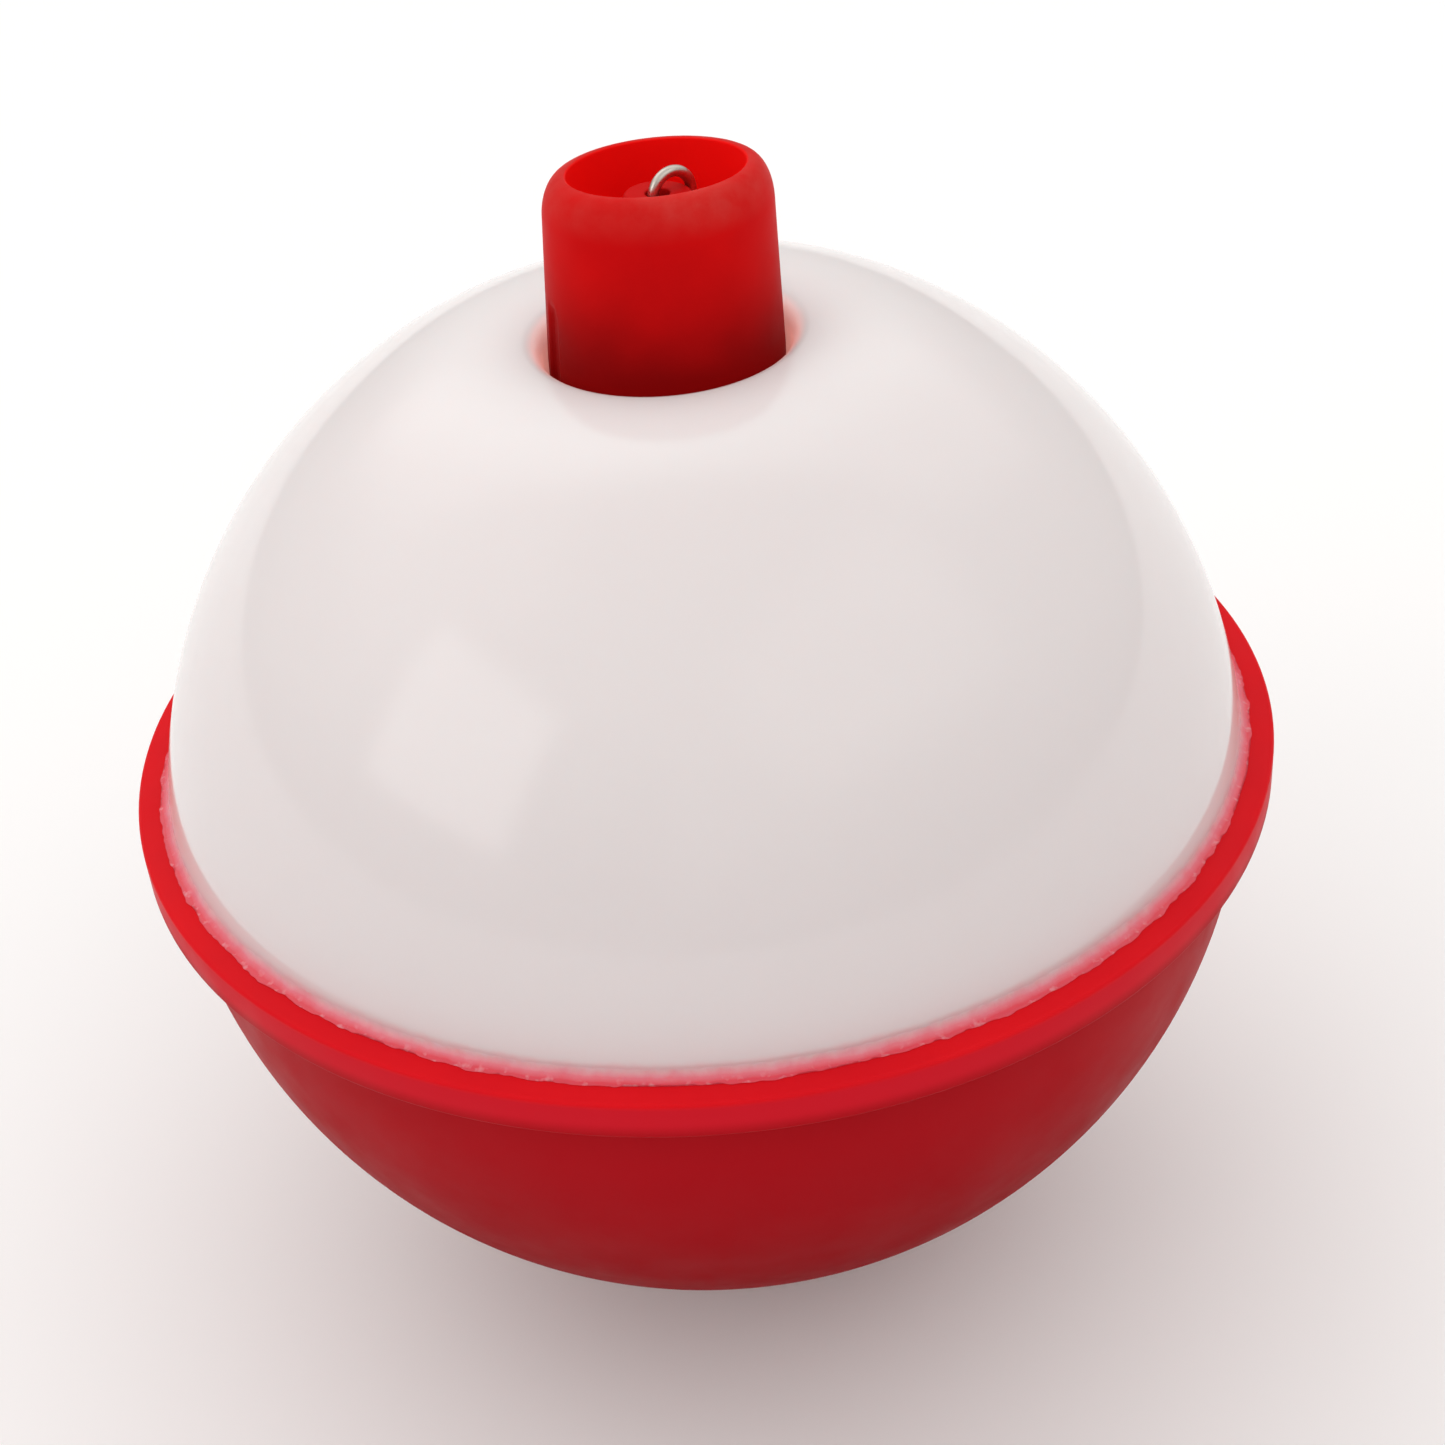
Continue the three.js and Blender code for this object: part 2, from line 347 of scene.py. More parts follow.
def height_above_seam(tree):
    """Millimetres above the seam plane."""
    where = tree.nodes.new("ShaderNodeTexCoord")
    split = tree.nodes.new("ShaderNodeSeparateXYZ")
    tree.links.new(where.outputs["Object"], split.inputs["Vector"])
    height = remap(tree, split.outputs["Z"], SEAM_HEIGHT * MM, (SEAM_HEIGHT + 1) * MM, 0, 1)
    height.node.clamp = False
    return height


# ---------------------------------------------------------------- materials
WHITE = (0.785, 0.726, 0.724, 1)
WHITE_COOL = (0.795, 0.74, 0.74, 1)
# Painted shade: the darker white of the dome's foot, where less light falls; the bead's top starts
# from it.
WHITE_SHADED_FOOT = (0.735, 0.665, 0.668, 1)
PALE_PINK = (0.84, 0.45, 0.48, 1)
PINK = (0.84, 0.20, 0.25, 1)
RED = (0.73, 0.0075, 0.013, 1)
RED_DEEP = (0.65, 0.0065, 0.013, 1)
# Painted shade: the darker red of the flange's upright face, below the ledge that faces the light.
RIM_SIDE_SHADE_RED = (0.61, 0.0085, 0.02, 1)
# The bowl's reds: partly the moulding's own deeper red and partly painted shade; the second is darker
# still, as painted shade.
CRIMSON = (0.40, 0.003, 0.008, 1)
CRIMSON_SHADED_LOW = (0.25, 0.002, 0.005, 1)
BUTTON_RED = (0.64, 0.003, 0.0035, 1)
BUTTON_DEEP = (0.56, 0.0025, 0.0035, 1)
# Painted shade: the button's red where it sinks into the well.
BUTTON_SHADED_LOW = (0.22, 0.0016, 0.002, 1)
# Painted light: the bright red of the cup's inner wall, where light falls into the cup.
CUP_LIT_RED = (0.95, 0.006, 0.005, 1)
POST_RED = (0.55, 0.006, 0.006, 1)
SCUFFED = (0.62, 0.06, 0.05, 1)
# Painted light: a paler white that brightens the dome round the hole, where the button shades it.
LIP_LIT_WHITE = (0.84, 0.825, 0.825, 1)
LIP_GLOW, HOLE_LIGHT = (1.0, 0.40, 0.33, 1), 0.36
WELD_RED = (0.85, 0.07, 0.10, 1)
# Pale spots on the bead's rim: partly mottled white plastic, partly painted glints.
WELD_MOTTLE_AND_GLINT = (0.85, 0.42, 0.46, 1)
STEEL, STEEL_STAIN = (0.60, 0.56, 0.51, 1), (0.47, 0.43, 0.38, 1)
SPRING_STEEL, SPRING_STAIN = (0.62, 0.62, 0.63, 1), (0.4, 0.4, 0.41, 1)
STEEL_ROUGHNESS = 0.3
FLOOR_WHITE = (0.93, 0.93, 0.93, 1)
PLASTIC_IOR = 1.5

# Where the plastics change, from and to: heights above the seam
SEAM_GLOW = (0.2, 1.1)
# Painted shade: the dome's white darkens from the upper height down to the lower.
DOME_FOOT_SHADE = (2, 15)
HOLE_GLOW = (17, 22)
# Painted shade: below these heights the flange's outer face turns darker than its ledge.
FLANGE_SIDE_SHADE = (-0.35, -0.12)
# Painted shade in part: the bowl's deeper red begins on the lower half of the flange's outer face.
BOWL_START = (-2.2, -1.2)
# Painted shade: the bowl darkens towards its bottom.
BOWL_LOW_SHADE = (-22, -6)
BOWL_SHEEN = (-18, -3)
# Painted shade: the button darkens below these heights, towards the well.
BUTTON_FOOT_SHADE = (23.5, 31.5)
BUTTON_CREST = (BUTTON_TOP - 1.8, BUTTON_TOP - 0.4)

# ... and distances from the axis
# Painted light: the dome is made paler, and also rougher, within this band round the hole.
NEAR_HOLE = (WELL_R + 1, WELL_R + 10)
HOLE_WALL = (WELL_R + 0.25, WELL_R + 0.9)
# Painted light: the cup's inner wall, inside these radii, is painted brightest.
CUP_WALL = (MOUTH_R, MOUTH_R + 0.12)
POST_WALL = (POST_R + 0.1, POST_R + 0.3)
BEAD_MIDDLE = (31.1, 31.3)
BEAD_EDGE = (31.3, 31.55)


def seam_glow(tree):
    """1 at the seam, where the red flange shines through the white plastic, and 0 a millimetre up."""
    uneven = remap(tree, object_noise(tree, 700, 3), 0, 1, -0.3, 0.3)
    height = add(tree, height_above_seam(tree), uneven)
    return remap(tree, height, *SEAM_GLOW, 1, 0, smooth=True)


def white_plastic():
    """Slightly translucent white with painted shade towards its foot and painted light round the
    hole, duller there, and faintly lit inside it.
    """
    material, tree, shader = new_material("white_plastic")
    cloud = remap(tree, object_noise(tree, 45, 2), 0.25, 0.75, 0, 1)
    body = mix_colour(tree, cloud, WHITE, WHITE_COOL)
    height = height_above_seam(tree)
    # Painted shade: the dome's white darkens towards its foot.
    low = remap(tree, height, *DOME_FOOT_SHADE, 1, 0)
    body = mix_colour(tree, low, body, WHITE_SHADED_FOOT)
    body = mix_colour(tree, seam_glow(tree), body, PALE_PINK)
    radius = radius_from_axis(tree)
    # Painted light: the white is made paler round the hole, where the button shades it; the same mask
    # also roughens it.
    near_hole = remap(tree, radius, *NEAR_HOLE, 1, 0, smooth=True)
    tree.links.new(mix_colour(tree, near_hole, body, LIP_LIT_WHITE), shader.inputs["Base Color"])
    smudge = remap(tree, object_noise(tree, 60, 3), 0.25, 0.75, 0.07, 0.12)
    roughness = add(tree, smudge, times(tree, near_hole, 0.13))
    tree.links.new(roughness, shader.inputs["Roughness"])
    # Daylight that the translucent wall carries into the hole, tinted by the button beside it.
    lit = remap(tree, radius, *HOLE_WALL, HOLE_LIGHT, 0, smooth=True)
    shader.inputs["Emission Color"].default_value = LIP_GLOW
    depth_lit = remap(tree, height, *HOLE_GLOW, 0, 1)
    tree.links.new(times(tree, lit, depth_lit), shader.inputs["Emission Strength"])
    shader.inputs["IOR"].default_value = PLASTIC_IOR
    shader.inputs["Subsurface Weight"].default_value = 0.35
    shader.inputs["Subsurface Radius"].default_value = (1.0, 0.75, 0.7)
    shader.inputs["Subsurface Scale"].default_value = WALL * MM
    wave = object_noise(tree, 110, 1)
    tree.links.new(bump(tree, wave, 0.3, 0.05), shader.inputs["Normal"])
    return material


def red_plastic():
    """Brightest on the flange's ledge, with painted shade on its outer face; the bowl below is a
    deeper red, partly its own and partly painted shade, darker towards the bottom.
    """
    material, tree, shader = new_material("red_plastic")
    cloud = remap(tree, object_noise(tree, 90, 4), 0.3, 0.7, 0, 1)
    ledge = mix_colour(tree, cloud, RED, RED_DEEP)
    height = height_above_seam(tree)
    # Painted shade: the flange's upright outer face is darker than the ledge above it.
    side = remap(tree, height, *FLANGE_SIDE_SHADE, 1, 0)
    flange = mix_colour(tree, side, ledge, RIM_SIDE_SHADE_RED)
    # Painted shade: the bowl darkens towards its bottom, over a red that is partly its own and partly
    # painted shade.
    low = remap(tree, height, *BOWL_LOW_SHADE, 1, 0)
    bowl_shading = add(tree, low, times(tree, cloud, 0.12))
    bowl = mix_colour(tree, bowl_shading, CRIMSON, CRIMSON_SHADED_LOW)
    below = remap(tree, height, *BOWL_START, 1, 0, smooth=True)
    tree.links.new(mix_colour(tree, below, flange, bowl), shader.inputs["Base Color"])
    sheen = remap(tree, height, *BOWL_SHEEN, 0.008, 0.035)
    tree.links.new(sheen, shader.inputs["Specular IOR Level"])
    red_surface(tree, shader, roughness=(0.36, 0.5), grain_mm=0.01)
    return material


def button_plastic():
    """Darker towards the well as painted shade, scuffed pale round its rim, and brightest inside the
    cup as painted light.
    """
    material, tree, shader = new_material("button_plastic")
    cloud = remap(tree, object_noise(tree, 160, 4), 0.3, 0.7, 0, 1)
    side = mix_colour(tree, cloud, BUTTON_RED, BUTTON_DEEP)
    height = height_above_seam(tree)
    uneven = remap(tree, object_noise(tree, 200, 2), 0.3, 0.7, -0.6, 0.6)
    # Painted shade: the button's red darkens towards the well.
    low = remap(tree, add(tree, height, uneven), *BUTTON_FOOT_SHADE, 1, 0, smooth=True)
    outside = mix_colour(tree, low, side, BUTTON_SHADED_LOW)
    scuffs = remap(tree, object_noise(tree, 900, 5, 0.6), 0.3, 0.7, 0.35, 1)
    crest = remap(tree, height, *BUTTON_CREST, 0, 1)
    patches = remap(tree, object_noise(tree, 170, 2), 0.35, 0.65, 0.2, 0.7)
    worn = times(tree, times(tree, scuffs, crest), patches)
    outside = mix_colour(tree, worn, outside, SCUFFED)
    radius = radius_from_axis(tree, lean((0, 0, BUTTON_TOP)))
    # Painted light: the cup's inner wall is painted the brightest red; the post in it keeps a plainer
    # red.
    inside = remap(tree, radius, *CUP_WALL, 1, 0)
    post = remap(tree, radius, *POST_WALL, 1, 0)
    cup = mix_colour(tree, post, CUP_LIT_RED, POST_RED)
    tree.links.new(mix_colour(tree, inside, outside, cup), shader.inputs["Base Color"])
    shader.inputs["Specular IOR Level"].default_value = 0.025
    red_surface(tree, shader, roughness=(0.42, 0.56), grain_mm=0.016)
    return material


def red_surface(tree, shader, roughness, grain_mm):
    """The satin skin that both red mouldings share, with roughness from and to."""
    smudge = remap(tree, object_noise(tree, 260, 5), 0.3, 0.7, *roughness)
    tree.links.new(smudge, shader.inputs["Roughness"])
    shader.inputs["IOR"].default_value = PLASTIC_IOR
    shader.inputs["Subsurface Weight"].default_value = 0.1
    shader.inputs["Subsurface Radius"].default_value = (1.0, 0.08, 0.06)
    shader.inputs["Subsurface Scale"].default_value = 0.8 * MM
    fine = object_noise(tree, 1500, 4)
    tree.links.new(bump(tree, fine, 0.35, grain_mm), shader.inputs["Normal"])


def weld_plastic():
    """White plastic that thins out over the red ledge: white on the dome, then pink, then red."""
    material, tree, shader = new_material("weld_plastic")
    uneven = remap(tree, object_noise(tree, 900, 3), 0, 1, -0.12, 0.12)
    radius = add(tree, radius_from_axis(tree), uneven)
    thinning = remap(tree, radius, *BEAD_MIDDLE, 0, 1)
    thinnest = remap(tree, radius, *BEAD_EDGE, 0, 1)
    # Pale spots on the rim: partly mottled white plastic, partly painted glints.
    mottle_and_glint = remap(tree, object_noise(tree, 1900, 2), 0.56, 0.7, 0, 0.4)
    edge = mix_colour(tree, mottle_and_glint, WELD_RED, WELD_MOTTLE_AND_GLINT)
    inner = mix_colour(tree, seam_glow(tree), WHITE_SHADED_FOOT, PALE_PINK)
    shade = mix_colour(tree, thinning, inner, PINK)
    tree.links.new(mix_colour(tree, thinnest, shade, edge), shader.inputs["Base Color"])
    shader.inputs["Roughness"].default_value = 0.24
    shader.inputs["IOR"].default_value = PLASTIC_IOR
    shader.inputs["Specular IOR Level"].default_value = 0.25
    shader.inputs["Subsurface Weight"].default_value = 0.3
    shader.inputs["Subsurface Scale"].default_value = 0.5 * MM
    lumps = object_noise(tree, 2600, 2)
    tree.links.new(bump(tree, lumps, 0.5, 0.04), shader.inputs["Normal"])
    return material


def wire_metal(name, colour, stained):
    """Drawn wire with a stain and fine scratches."""
    material, tree, shader = new_material(name)
    stain = remap(tree, object_noise(tree, 900, 3), 0.35, 0.7, 0, 1)
    tree.links.new(mix_colour(tree, stain, colour, stained), shader.inputs["Base Color"])
    shader.inputs["Metallic"].default_value = 1
    worn = remap(tree, object_noise(tree, 4000, 4), 0.3, 0.7,
                 STEEL_ROUGHNESS * 0.85, STEEL_ROUGHNESS * 1.2)
    tree.links.new(worn, shader.inputs["Roughness"])
    scratches = object_noise(tree, 5000, 2)
    tree.links.new(bump(tree, scratches, 0.1, 0.002), shader.inputs["Normal"])
    return material


# ---------------------------------------------------------------- shells
def angle_at_radius(sphere_r, r):
    return math.degrees(math.acos(r / sphere_r))


def angle_at_height(sphere_r, z):
    return math.degrees(math.asin(z / sphere_r))


def tightening(start, heading, length, bend_from, bend_to, steps=20):
    """Points of a curve whose bend changes evenly; heading is the direction it faces, in radians."""
    r, z = start
    step = length / steps
    points = []
    for i in range(steps):
        turn = (bend_from + (bend_to - bend_from) * (i + 0.5) / steps) * step
        r -= math.sin(heading + turn / 2) * step
        z += math.cos(heading + turn / 2) * step
        heading += turn
        points.append((r, z))
    return points


def make_upper_shell(material):
    """The dome with its lip, the well's tube below that, and the spigot that sits in the bowl."""
    crown_angle = angle_at_radius(BALL_R, CROWN_FROM_R)
    facing = math.radians(crown_angle)
    inward = EASE**2 * (1 / CROWN_R - 1 / BALL_R) / 6  # room that the eased stretch takes
    crown_r = CROWN_CENTRE_R - inward * math.cos(facing)
    crown_z = CROWN_CENTRE_Z - inward * math.sin(facing)
    ease_from = crown_angle - math.degrees(EASE / BALL_R)
    ease_to = crown_angle + math.degrees(EASE / CROWN_R)
    sphere = arc(0, UPPER_CENTRE, BALL_R, angle_at_height(BALL_R, -UPPER_CENTRE), ease_from, 56)
    eased = tightening(sphere[-1], math.radians(ease_from), 2 * EASE, 1 / BALL_R, 1 / CROWN_R)
    lip_r = WELL_R + LIP_ROUND
    lip_z = crown_z + math.sqrt((CROWN_R - LIP_ROUND) ** 2 - (crown_r - lip_r) ** 2)
    lip_angle = angle_at_radius(CROWN_R - LIP_ROUND, lip_r - crown_r)
    inner, inner_crown = BALL_R - WALL, CROWN_R - WALL
    inner_angle = angle_at_radius(inner_crown, WELL_R + WELL_WALL - CROWN_CENTRE_R)
    spigot_in = SPIGOT_R - SPIGOT_WALL
    loop = rounded([
        (SPIGOT_R, -SPIGOT_DEPTH, 0.25),
        (SPIGOT_R, 0),
        *sphere,
        *eased,
        *arc(crown_r, crown_z, CROWN_R, ease_to, lip_angle, 14)[1:],
        *arc(lip_r, lip_z, LIP_ROUND, lip_angle, 180, 14)[1:],
        (WELL_R, TUBE_END, 0.15),
        (WELL_R + WELL_WALL, TUBE_END, 0.15),
        *arc(CROWN_CENTRE_R, CROWN_CENTRE_Z, inner_crown, inner_angle, crown_angle, 12),
        *arc(0, UPPER_CENTRE, inner, crown_angle, angle_at_radius(inner, spigot_in), 30)[1:],
        (spigot_in, -SPIGOT_DEPTH, 0.25),
    ])
    loop = subdivide_long(loop)
    add_piece("dome", spin(lambda angle: loop, AROUND), material, "white_plastic", "upper_shell",
              body="float_body")


def make_lower_shell(material):
    """The bowl with its flange and bottom boss, and inside it the lower part of the well."""
    inner = BALL_R - WALL
    register = SPIGOT_R + FIT_GAP
    shelf = -SPIGOT_DEPTH - FIT_GAP
    socket_in = WELL_R + WELL_WALL + FIT_GAP
    socket_out = socket_in + WELL_WALL
    bowl = arc(0, LOWER_CENTRE, BALL_R, -angle_at_radius(BALL_R, BOSS_R + BOSS_ROOT),
               angle_at_height(BALL_R, -FLANGE_DEPTH - LOWER_CENTRE), 72)
    inside = arc(0, LOWER_CENTRE, inner, angle_at_height(inner, shelf - LOWER_CENTRE),
                 -angle_at_radius(inner, socket_out), 40)
    loop = rounded([
        (WIRE_HOLE_R, BOSS_Z, 0.08),
        (BOSS_R, BOSS_Z, 0.3),
        (BOSS_R, BOSS_Z + BOSS_LENGTH - 0.15, 0.25),
        *bowl[:-1],
        (*bowl[-1], 0.3),
        (FLANGE_R, -FLANGE_DEPTH, 0.2),
        (FLANGE_R, 0, 0.2),
        (register, 0, 0.1),
        (register, shelf),
        *inside,
        (socket_out, TUBE_END + SOCKET_RISE, 0.2),
        (socket_in, TUBE_END + SOCKET_RISE, 0.2),
        (socket_in, TUBE_END),
        (WELL_R, TUBE_END),
        (WELL_R, WELL_FLOOR, 0.4),
        (WIRE_HOLE_R, WELL_FLOOR, 0.1),
    ])
    loop = subdivide_long(loop)
    add_piece("bowl", spin(lambda angle: loop, AROUND), material, "red_plastic", "lower_shell",
              body="float_body")


# ---------------------------------------------------------------- weld bead
BEAD_FILLET, FILLET_UNEVEN = 0.62, 0.10  # radius of its hollow face
BEAD_RIM, RIM_UNEVEN = 0.045, 0.03  # thickness of its rim on the ledge
BEAD_REACH = 0.06  # how far the rim reaches past the hollow face, apart from its ragged waves
BEAD_CLIMB, BEAD_SUNK = 0.5, 0.02  # its top ends higher up the dome, just inside the surface
BEAD_INNER_R = 31.0  # hidden inside the dome
HOLLOW_FROM, HOLLOW_TO = -1.5, 262  # degrees round the hollow, the first from the dome's slope
HOLLOW_STEPS = 7


def flow(angle, waves, seed):
    """Noise round the float; waves is the radius of the circle it is read on."""
    return noise.noise(Vector((math.cos(angle) * waves, math.sin(angle) * waves, seed)))


def bead_profile(angle):
    """A fillet between dome and ledge that ends in a thin, ragged rim."""
    ragged = 0.10 * flow(angle, 5, 7.7) + 0.13 * flow(angle, 24, 1.3) + 0.10 * flow(angle, 62, 4.1)
    fillet = BEAD_FILLET + FILLET_UNEVEN * flow(angle, 16, 2.9)
    rim = BEAD_RIM + RIM_UNEVEN * flow(angle, 40, 9.2)
    centre_r = math.sqrt((BALL_R + fillet) ** 2 - (fillet - UPPER_CENTRE) ** 2)
    slope = 180 + math.degrees(math.atan((fillet - UPPER_CENTRE) / centre_r))
    hollow = arc(centre_r, fillet, fillet, slope + HOLLOW_FROM, HOLLOW_TO, HOLLOW_STEPS)
    hollow = [(r, z + rim * i / HOLLOW_STEPS) for i, (r, z) in enumerate(hollow)]
    edge = hollow[-1][0] + 0.02 + max(0.0, ragged + BEAD_REACH)
    top = hollow[0][1] + BEAD_CLIMB
    top_r = math.sqrt(BALL_R**2 - (top - UPPER_CENTRE) ** 2) - BEAD_SUNK
    rounding = [(edge - 0.03, rim), (edge, rim * 0.45), (edge - 0.02, 0.0)]
    return [(top_r, top), *hollow, *rounding, (BEAD_INNER_R, 0.0)]


def make_weld_bead(material):
    """The plastic that the weld squeezed out onto the ledge."""
    add_piece("weld_bead", spin(bead_profile, BEAD_AROUND), material, "weld_plastic",
              "seam_weld_bead", body="float_body")


# ---------------------------------------------------------------- button
KEYWAY_AZIMUTH = math.radians(199)  # the moulded slot low on the button's left
KEYWAY_HALF, KEYWAY_TOP, KEYWAY_DEPTH = 0.6, 27.2, 0.25
KEYWAY_SOFT = 0.5  # width of its soft edge, as a part of the half width
RIM_R = 4.86  # the rim's crest
RIM_DROP, RIM_FOOT_R = 2.25, BUTTON_TOP_R + 0.06  # where its outer rounding ends
RIM_SLANT = (0.045, -0.06)  # the rim stands out of square: higher in front and on the right
SLANT_DEPTH = CUP_DEPTH - 1  # the slant fades out over this much of the button


def button_shape(r, angle, z):
    """Tilts the rim and presses the keyway, which ends in a round arch, into the outside."""
    near_rim = max(0.0, 1 - (BUTTON_TOP - z) / SLANT_DEPTH)
    if r > POST_R + 1:
        z += near_rim * r * (RIM_SLANT[0] * math.cos(angle) + RIM_SLANT[1] * math.sin(angle))
    if r < BUTTON_TOP_R - 0.3 or z > KEYWAY_TOP + 2:
        return r, z
    off = (angle - KEYWAY_AZIMUTH + math.pi) % (2 * math.pi) - math.pi
    across = off * r
    above = max(0.0, z - (KEYWAY_TOP - KEYWAY_HALF))
    edge = math.hypot(across, above) / KEYWAY_HALF
    press = max(0.0, min(1.0, (1 + KEYWAY_SOFT / 2 - edge) / KEYWAY_SOFT))
    return r - KEYWAY_DEPTH * press * press * (3 - 2 * press), z


def lean(point):
    """Turns a point on the button about its pivot in the well, by the play that it has there."""
    about = Vector((0, 0, LEAN_PIVOT))
    turn = Matrix.Rotation(LEAN_RIGHT, 3, "Y") @ Matrix.Rotation(-LEAN_BACK, 3, "X")
    return turn @ (Vector(point) - about) + about


def make_button(material):
    """A cup with the wire's post in it, and below the web an open skirt and the post's guide."""
    web_top = BUTTON_TOP - CUP_DEPTH
    web_low = web_top - WEB
    skirt = BUTTON_TOP - BUTTON_LENGTH
    turns = [math.pi / 2 * i / 14 for i in range(15)]
    outer_rounding = [(RIM_R + (RIM_FOOT_R - RIM_R) * math.cos(turn),
                       BUTTON_TOP + RIM_DROP * (math.sin(turn) - 1)) for turn in turns]
    corners = [
        (SKIRT_R, skirt, 0.2),
        (BUTTON_R, skirt, 0.3),
        (BUTTON_R, CROWN_CENTRE_Z + CROWN_R - LIP_ROUND),
        *outer_rounding,
        (MOUTH_R, BUTTON_TOP, 0.12),
        (MOUTH_R - CUP_DRAFT, web_top, 0.5),
        (POST_R + 0.1, web_top, 0.3),
        (POST_R, POST_TOP, 0.25),
        (BORE_R, POST_TOP, 0.1),
        (BORE_R, web_low - GUIDE_DEPTH, 0.1),
        (POST_R, web_low - GUIDE_DEPTH, 0.3),
        (POST_R, web_low, 0.2),
        (SKIRT_R, web_low, 0.3),
    ]
    loop = subdivide_long(rounded(corners, steps=7), longest=0.35)
    bm = spin(lambda angle: [button_shape(r, angle, z) for r, z in loop], BUTTON_AROUND)
    for vert in bm.verts:
        point = vert.co / MM
        point.z -= SEAM_HEIGHT
        vert.co = place(lean(point))
    add_piece("button", bm, material, "button_plastic", "push_button", body="button")


# ---------------------------------------------------------------- wire and spring
def hook_points(span, tip, base, up):
    """From the hook's point to the straight wire, round a half circle."""
    bend = span / 2
    point = [(span, -tip), (span, -tip + TAPER), (span, -tip / 2)]
    flat = point + arc(bend, 0, bend, 0, 180, 36)
    cos_a, sin_a = math.cos(HOOK_AZIMUTH), math.sin(HOOK_AZIMUTH)
    return [Vector((r * cos_a, r * sin_a, base + up * z)) for r, z in flat]


def make_wire(material):
    """One wire from the lower hook up through the float to the upper hook."""
    low = hook_points(LOW_SPAN, LOW_TIP, BOSS_Z + LOW_SINK, -1)
    top = hook_points(TOP_SPAN, TOP_TIP, POST_TOP - TOP_SINK, 1)
    start, end = low[-1], top[-1]
    between = [start.lerp(end, i / 30) for i in range(1, 30)]
    path = low + between + top[::-1]
    radii = [WIRE_R] * len(path)
    radii[0] = radii[-1] = TAPER_R
    add_piece("line_hook", sweep(path, radii, sides=24), material, "stainless_wire", "line_wire",
              body="wire")


def spring_point(turn):
    """A point of the helix, which has one closed coil at each end."""
    low = WELL_FLOOR + SPRING_WIRE_R + SPRING_GAP
    high = BUTTON_TOP - CUP_DEPTH - WEB - SPRING_WIRE_R - SPRING_GAP
    closed = 2 * SPRING_WIRE_R * 1.1
    if turn < 1:
        z = low + closed * turn
    elif turn > SPRING_COILS - 1:
        z = high - closed * (SPRING_COILS - turn)
    else:
        z = low + closed + (turn - 1) * (high - low - 2 * closed) / (SPRING_COILS - 2)
    a = 2 * math.pi * turn
    return Vector((SPRING_R * math.cos(a), SPRING_R * math.sin(a), z))


def make_spring(material):
    """Two lengths that meet halfway: the lower one is listed between float and wire, the upper one
    between wire and button, though neither is attached to these bodies here."""
    steps = 28
    count = SPRING_COILS * steps
    middle = count // 2
    points = [spring_point(i / steps) for i in range(count + 1)]
    halves = (("spring_lower", points[: middle + 1], "float_body", "wire"),
              ("spring_upper", points[middle:], "wire", "button"))
    for name, path, low_body, high_body in halves:
        bm = sweep(path, [SPRING_WIRE_R] * len(path), sides=12)
        piece = add_piece(name, bm, material, "spring_steel", "return_spring")
        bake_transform(piece)


# ---------------------------------------------------------------- floor and light
FLOOR_R = 4  # metres, as the overhead light's values are
OVERHEAD_WATTS, OVERHEAD_SIZE, OVERHEAD_HEIGHT = 0.25, 0.7, 1
ROOM_LOW, ROOM_HIGH = 0.46, 0.88  # the room's brightness at the horizon and overhead
ROOM_WHITE = (1, 0.985, 0.97, 1)
# Each window's azimuth from +Y towards +X, elevation, half width, half height and soft edge, in
# degrees, and its strength; the last one is a dark screen.
WINDOWS = (
    (-119, 30, 17, 15, 3, 1.3),
    (-60, 50, 30, 22, 9, 0.35),
    (130, 45, 26, 17, 9, 0.5),
    (5, 50, 45, 24, 8, 0.5),
    (-155, 25, 14, 18, 6, -0.25),
)


def make_floor():
    """A round matt floor, just below the float."""
    bpy.ops.mesh.primitive_circle_add(vertices=96, radius=FLOOR_R, fill_type="NGON",
                                      location=(0, 0, FLOOR_Z))
    floor = bpy.context.object
    floor.name = "floor"
    material, _, shader = new_material("floor")
    shader.inputs["Base Color"].default_value = FLOOR_WHITE
    shader.inputs["Roughness"].default_value = 0.9
    shader.inputs["Specular IOR Level"].default_value = 0.1
    floor.data.materials.append(material)


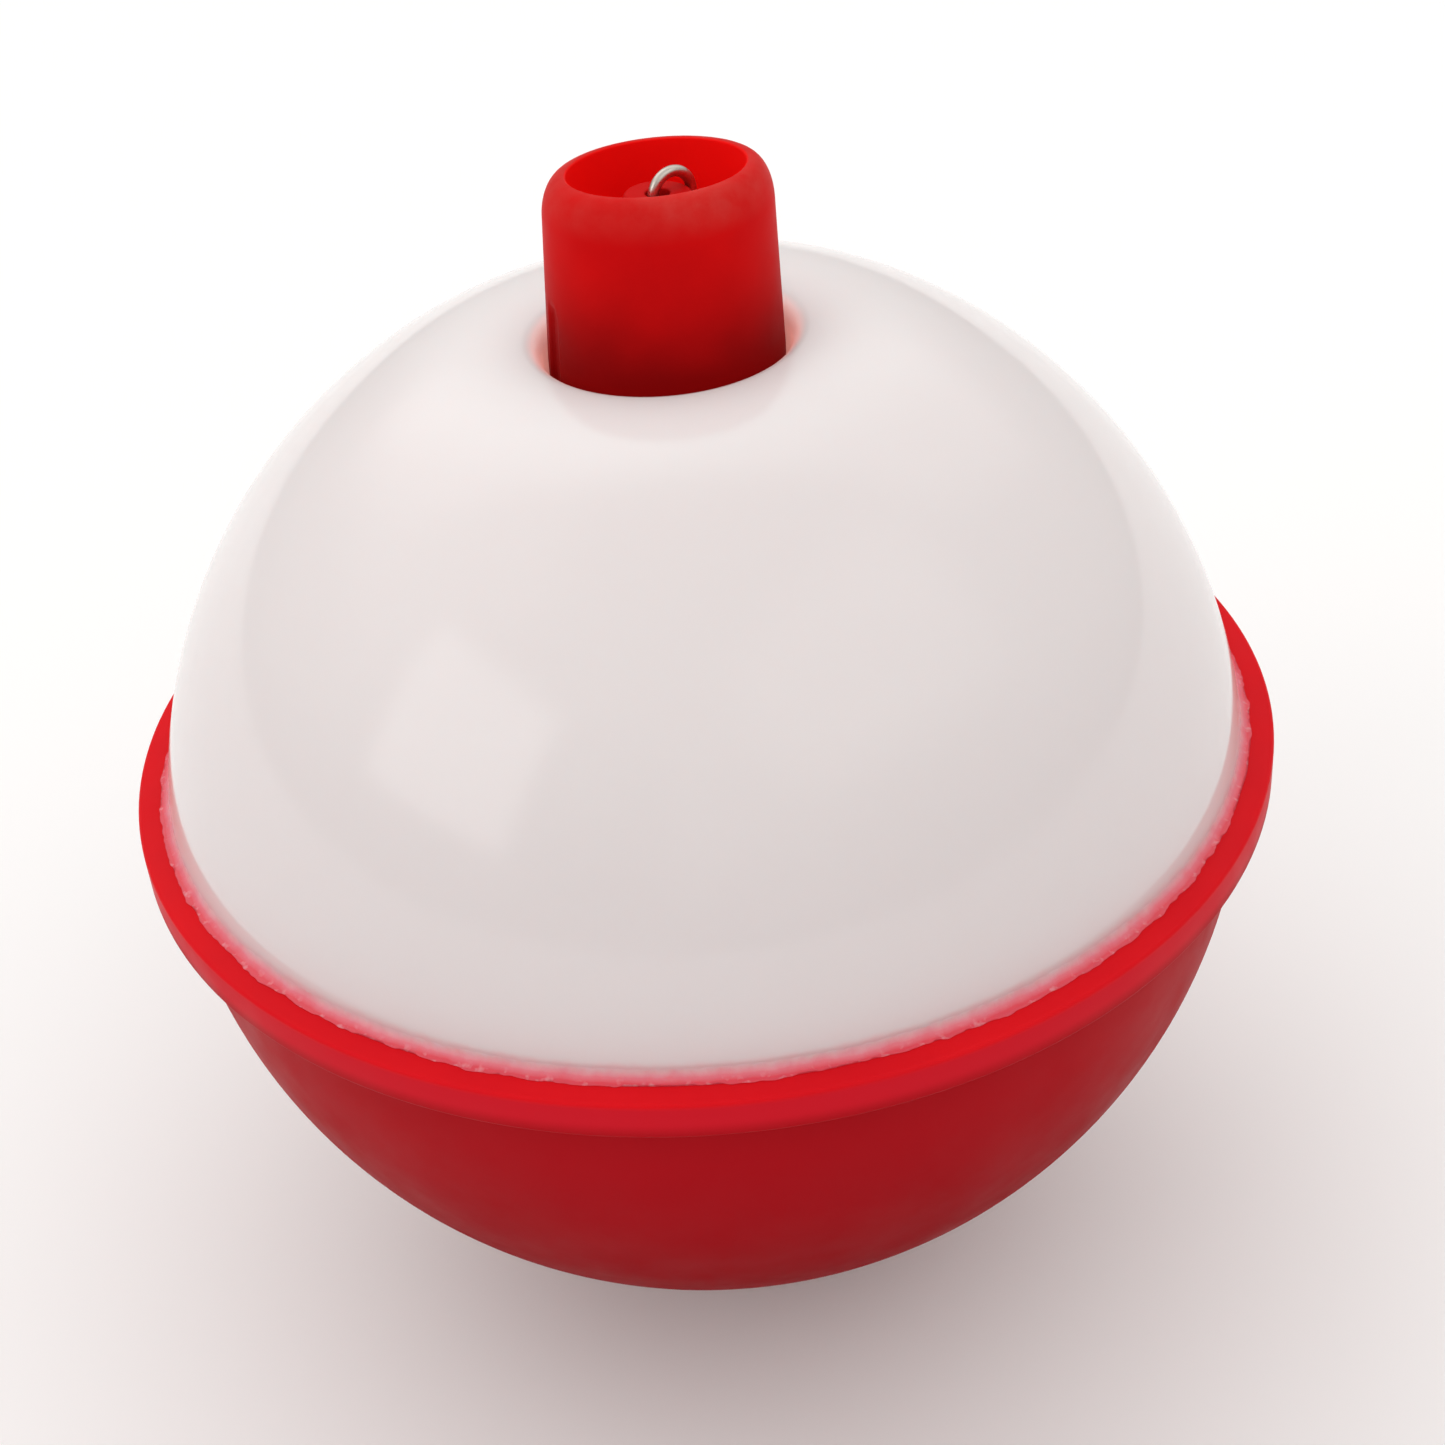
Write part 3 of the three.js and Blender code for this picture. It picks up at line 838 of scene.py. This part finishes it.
def make_light():
    """A weak round soft box straight overhead, besides the room's own light."""
    data = bpy.data.lights.new("overhead", "AREA")
    data.energy = OVERHEAD_WATTS
    data.shape = "DISK"
    data.size = OVERHEAD_SIZE
    light = bpy.data.objects.new("overhead", data)
    light.location = (0, 0, OVERHEAD_HEIGHT)
    light.visible_glossy = False
    bpy.context.scene.collection.objects.link(light)


def make_world():
    """A pale room that is brightest overhead, with soft windows."""
    world = bpy.data.worlds.new("studio")
    bpy.context.scene.world = world
    world.use_nodes = True
    tree = world.node_tree
    where = tree.nodes.new("ShaderNodeTexCoord").outputs["Generated"]
    split = tree.nodes.new("ShaderNodeSeparateXYZ")
    tree.links.new(where, split.inputs["Vector"])
    level = remap(tree, split.outputs["Z"], 0, 0.8, ROOM_LOW, ROOM_HIGH)
    for azimuth, elevation, wide, tall, soft, strength in WINDOWS:
        glow = window_mask(tree, where, azimuth, elevation, wide, tall, soft)
        level = add(tree, level, times(tree, glow, strength))
    tree.links.new(level, tree.nodes["Background"].inputs["Strength"])
    tree.nodes["Background"].inputs["Color"].default_value = ROOM_WHITE


def window_mask(tree, where, azimuth, elevation, wide, tall, soft):
    """1 inside a window seen in that direction from the object, falling to 0 over its soft edge."""
    turn, tilt = math.radians(azimuth), math.radians(elevation)
    ahead = Vector((math.sin(turn) * math.cos(tilt), math.cos(turn) * math.cos(tilt), math.sin(tilt)))
    across = Vector((math.cos(turn), -math.sin(turn), 0))
    upward = across.cross(ahead)
    depth = dot(tree, where, ahead)
    mask = remap(tree, depth, 0.0, 0.1, 0, 1)
    for direction, half in ((across, wide), (upward, tall)):
        slope = math_node(tree, "DIVIDE", dot(tree, where, direction), depth)
        size = math_node(tree, "ABSOLUTE", slope)
        inside, outside = math.tan(math.radians(half - soft)), math.tan(math.radians(half + soft))
        edge = remap(tree, size, inside, outside, 1, 0, smooth=True)
        mask = times(tree, mask, edge)
    return mask


# ---------------------------------------------------------------- build
make_camera()
bpy.context.scene.view_settings.view_transform = "Standard"
make_floor()
make_light()
make_world()

make_upper_shell(white_plastic())
make_lower_shell(red_plastic())
make_weld_bead(weld_plastic())
make_button(button_plastic())
make_wire(wire_metal("stainless_wire", STEEL, STEEL_STAIN))
make_spring(wire_metal("spring_steel", SPRING_STEEL, SPRING_STAIN))
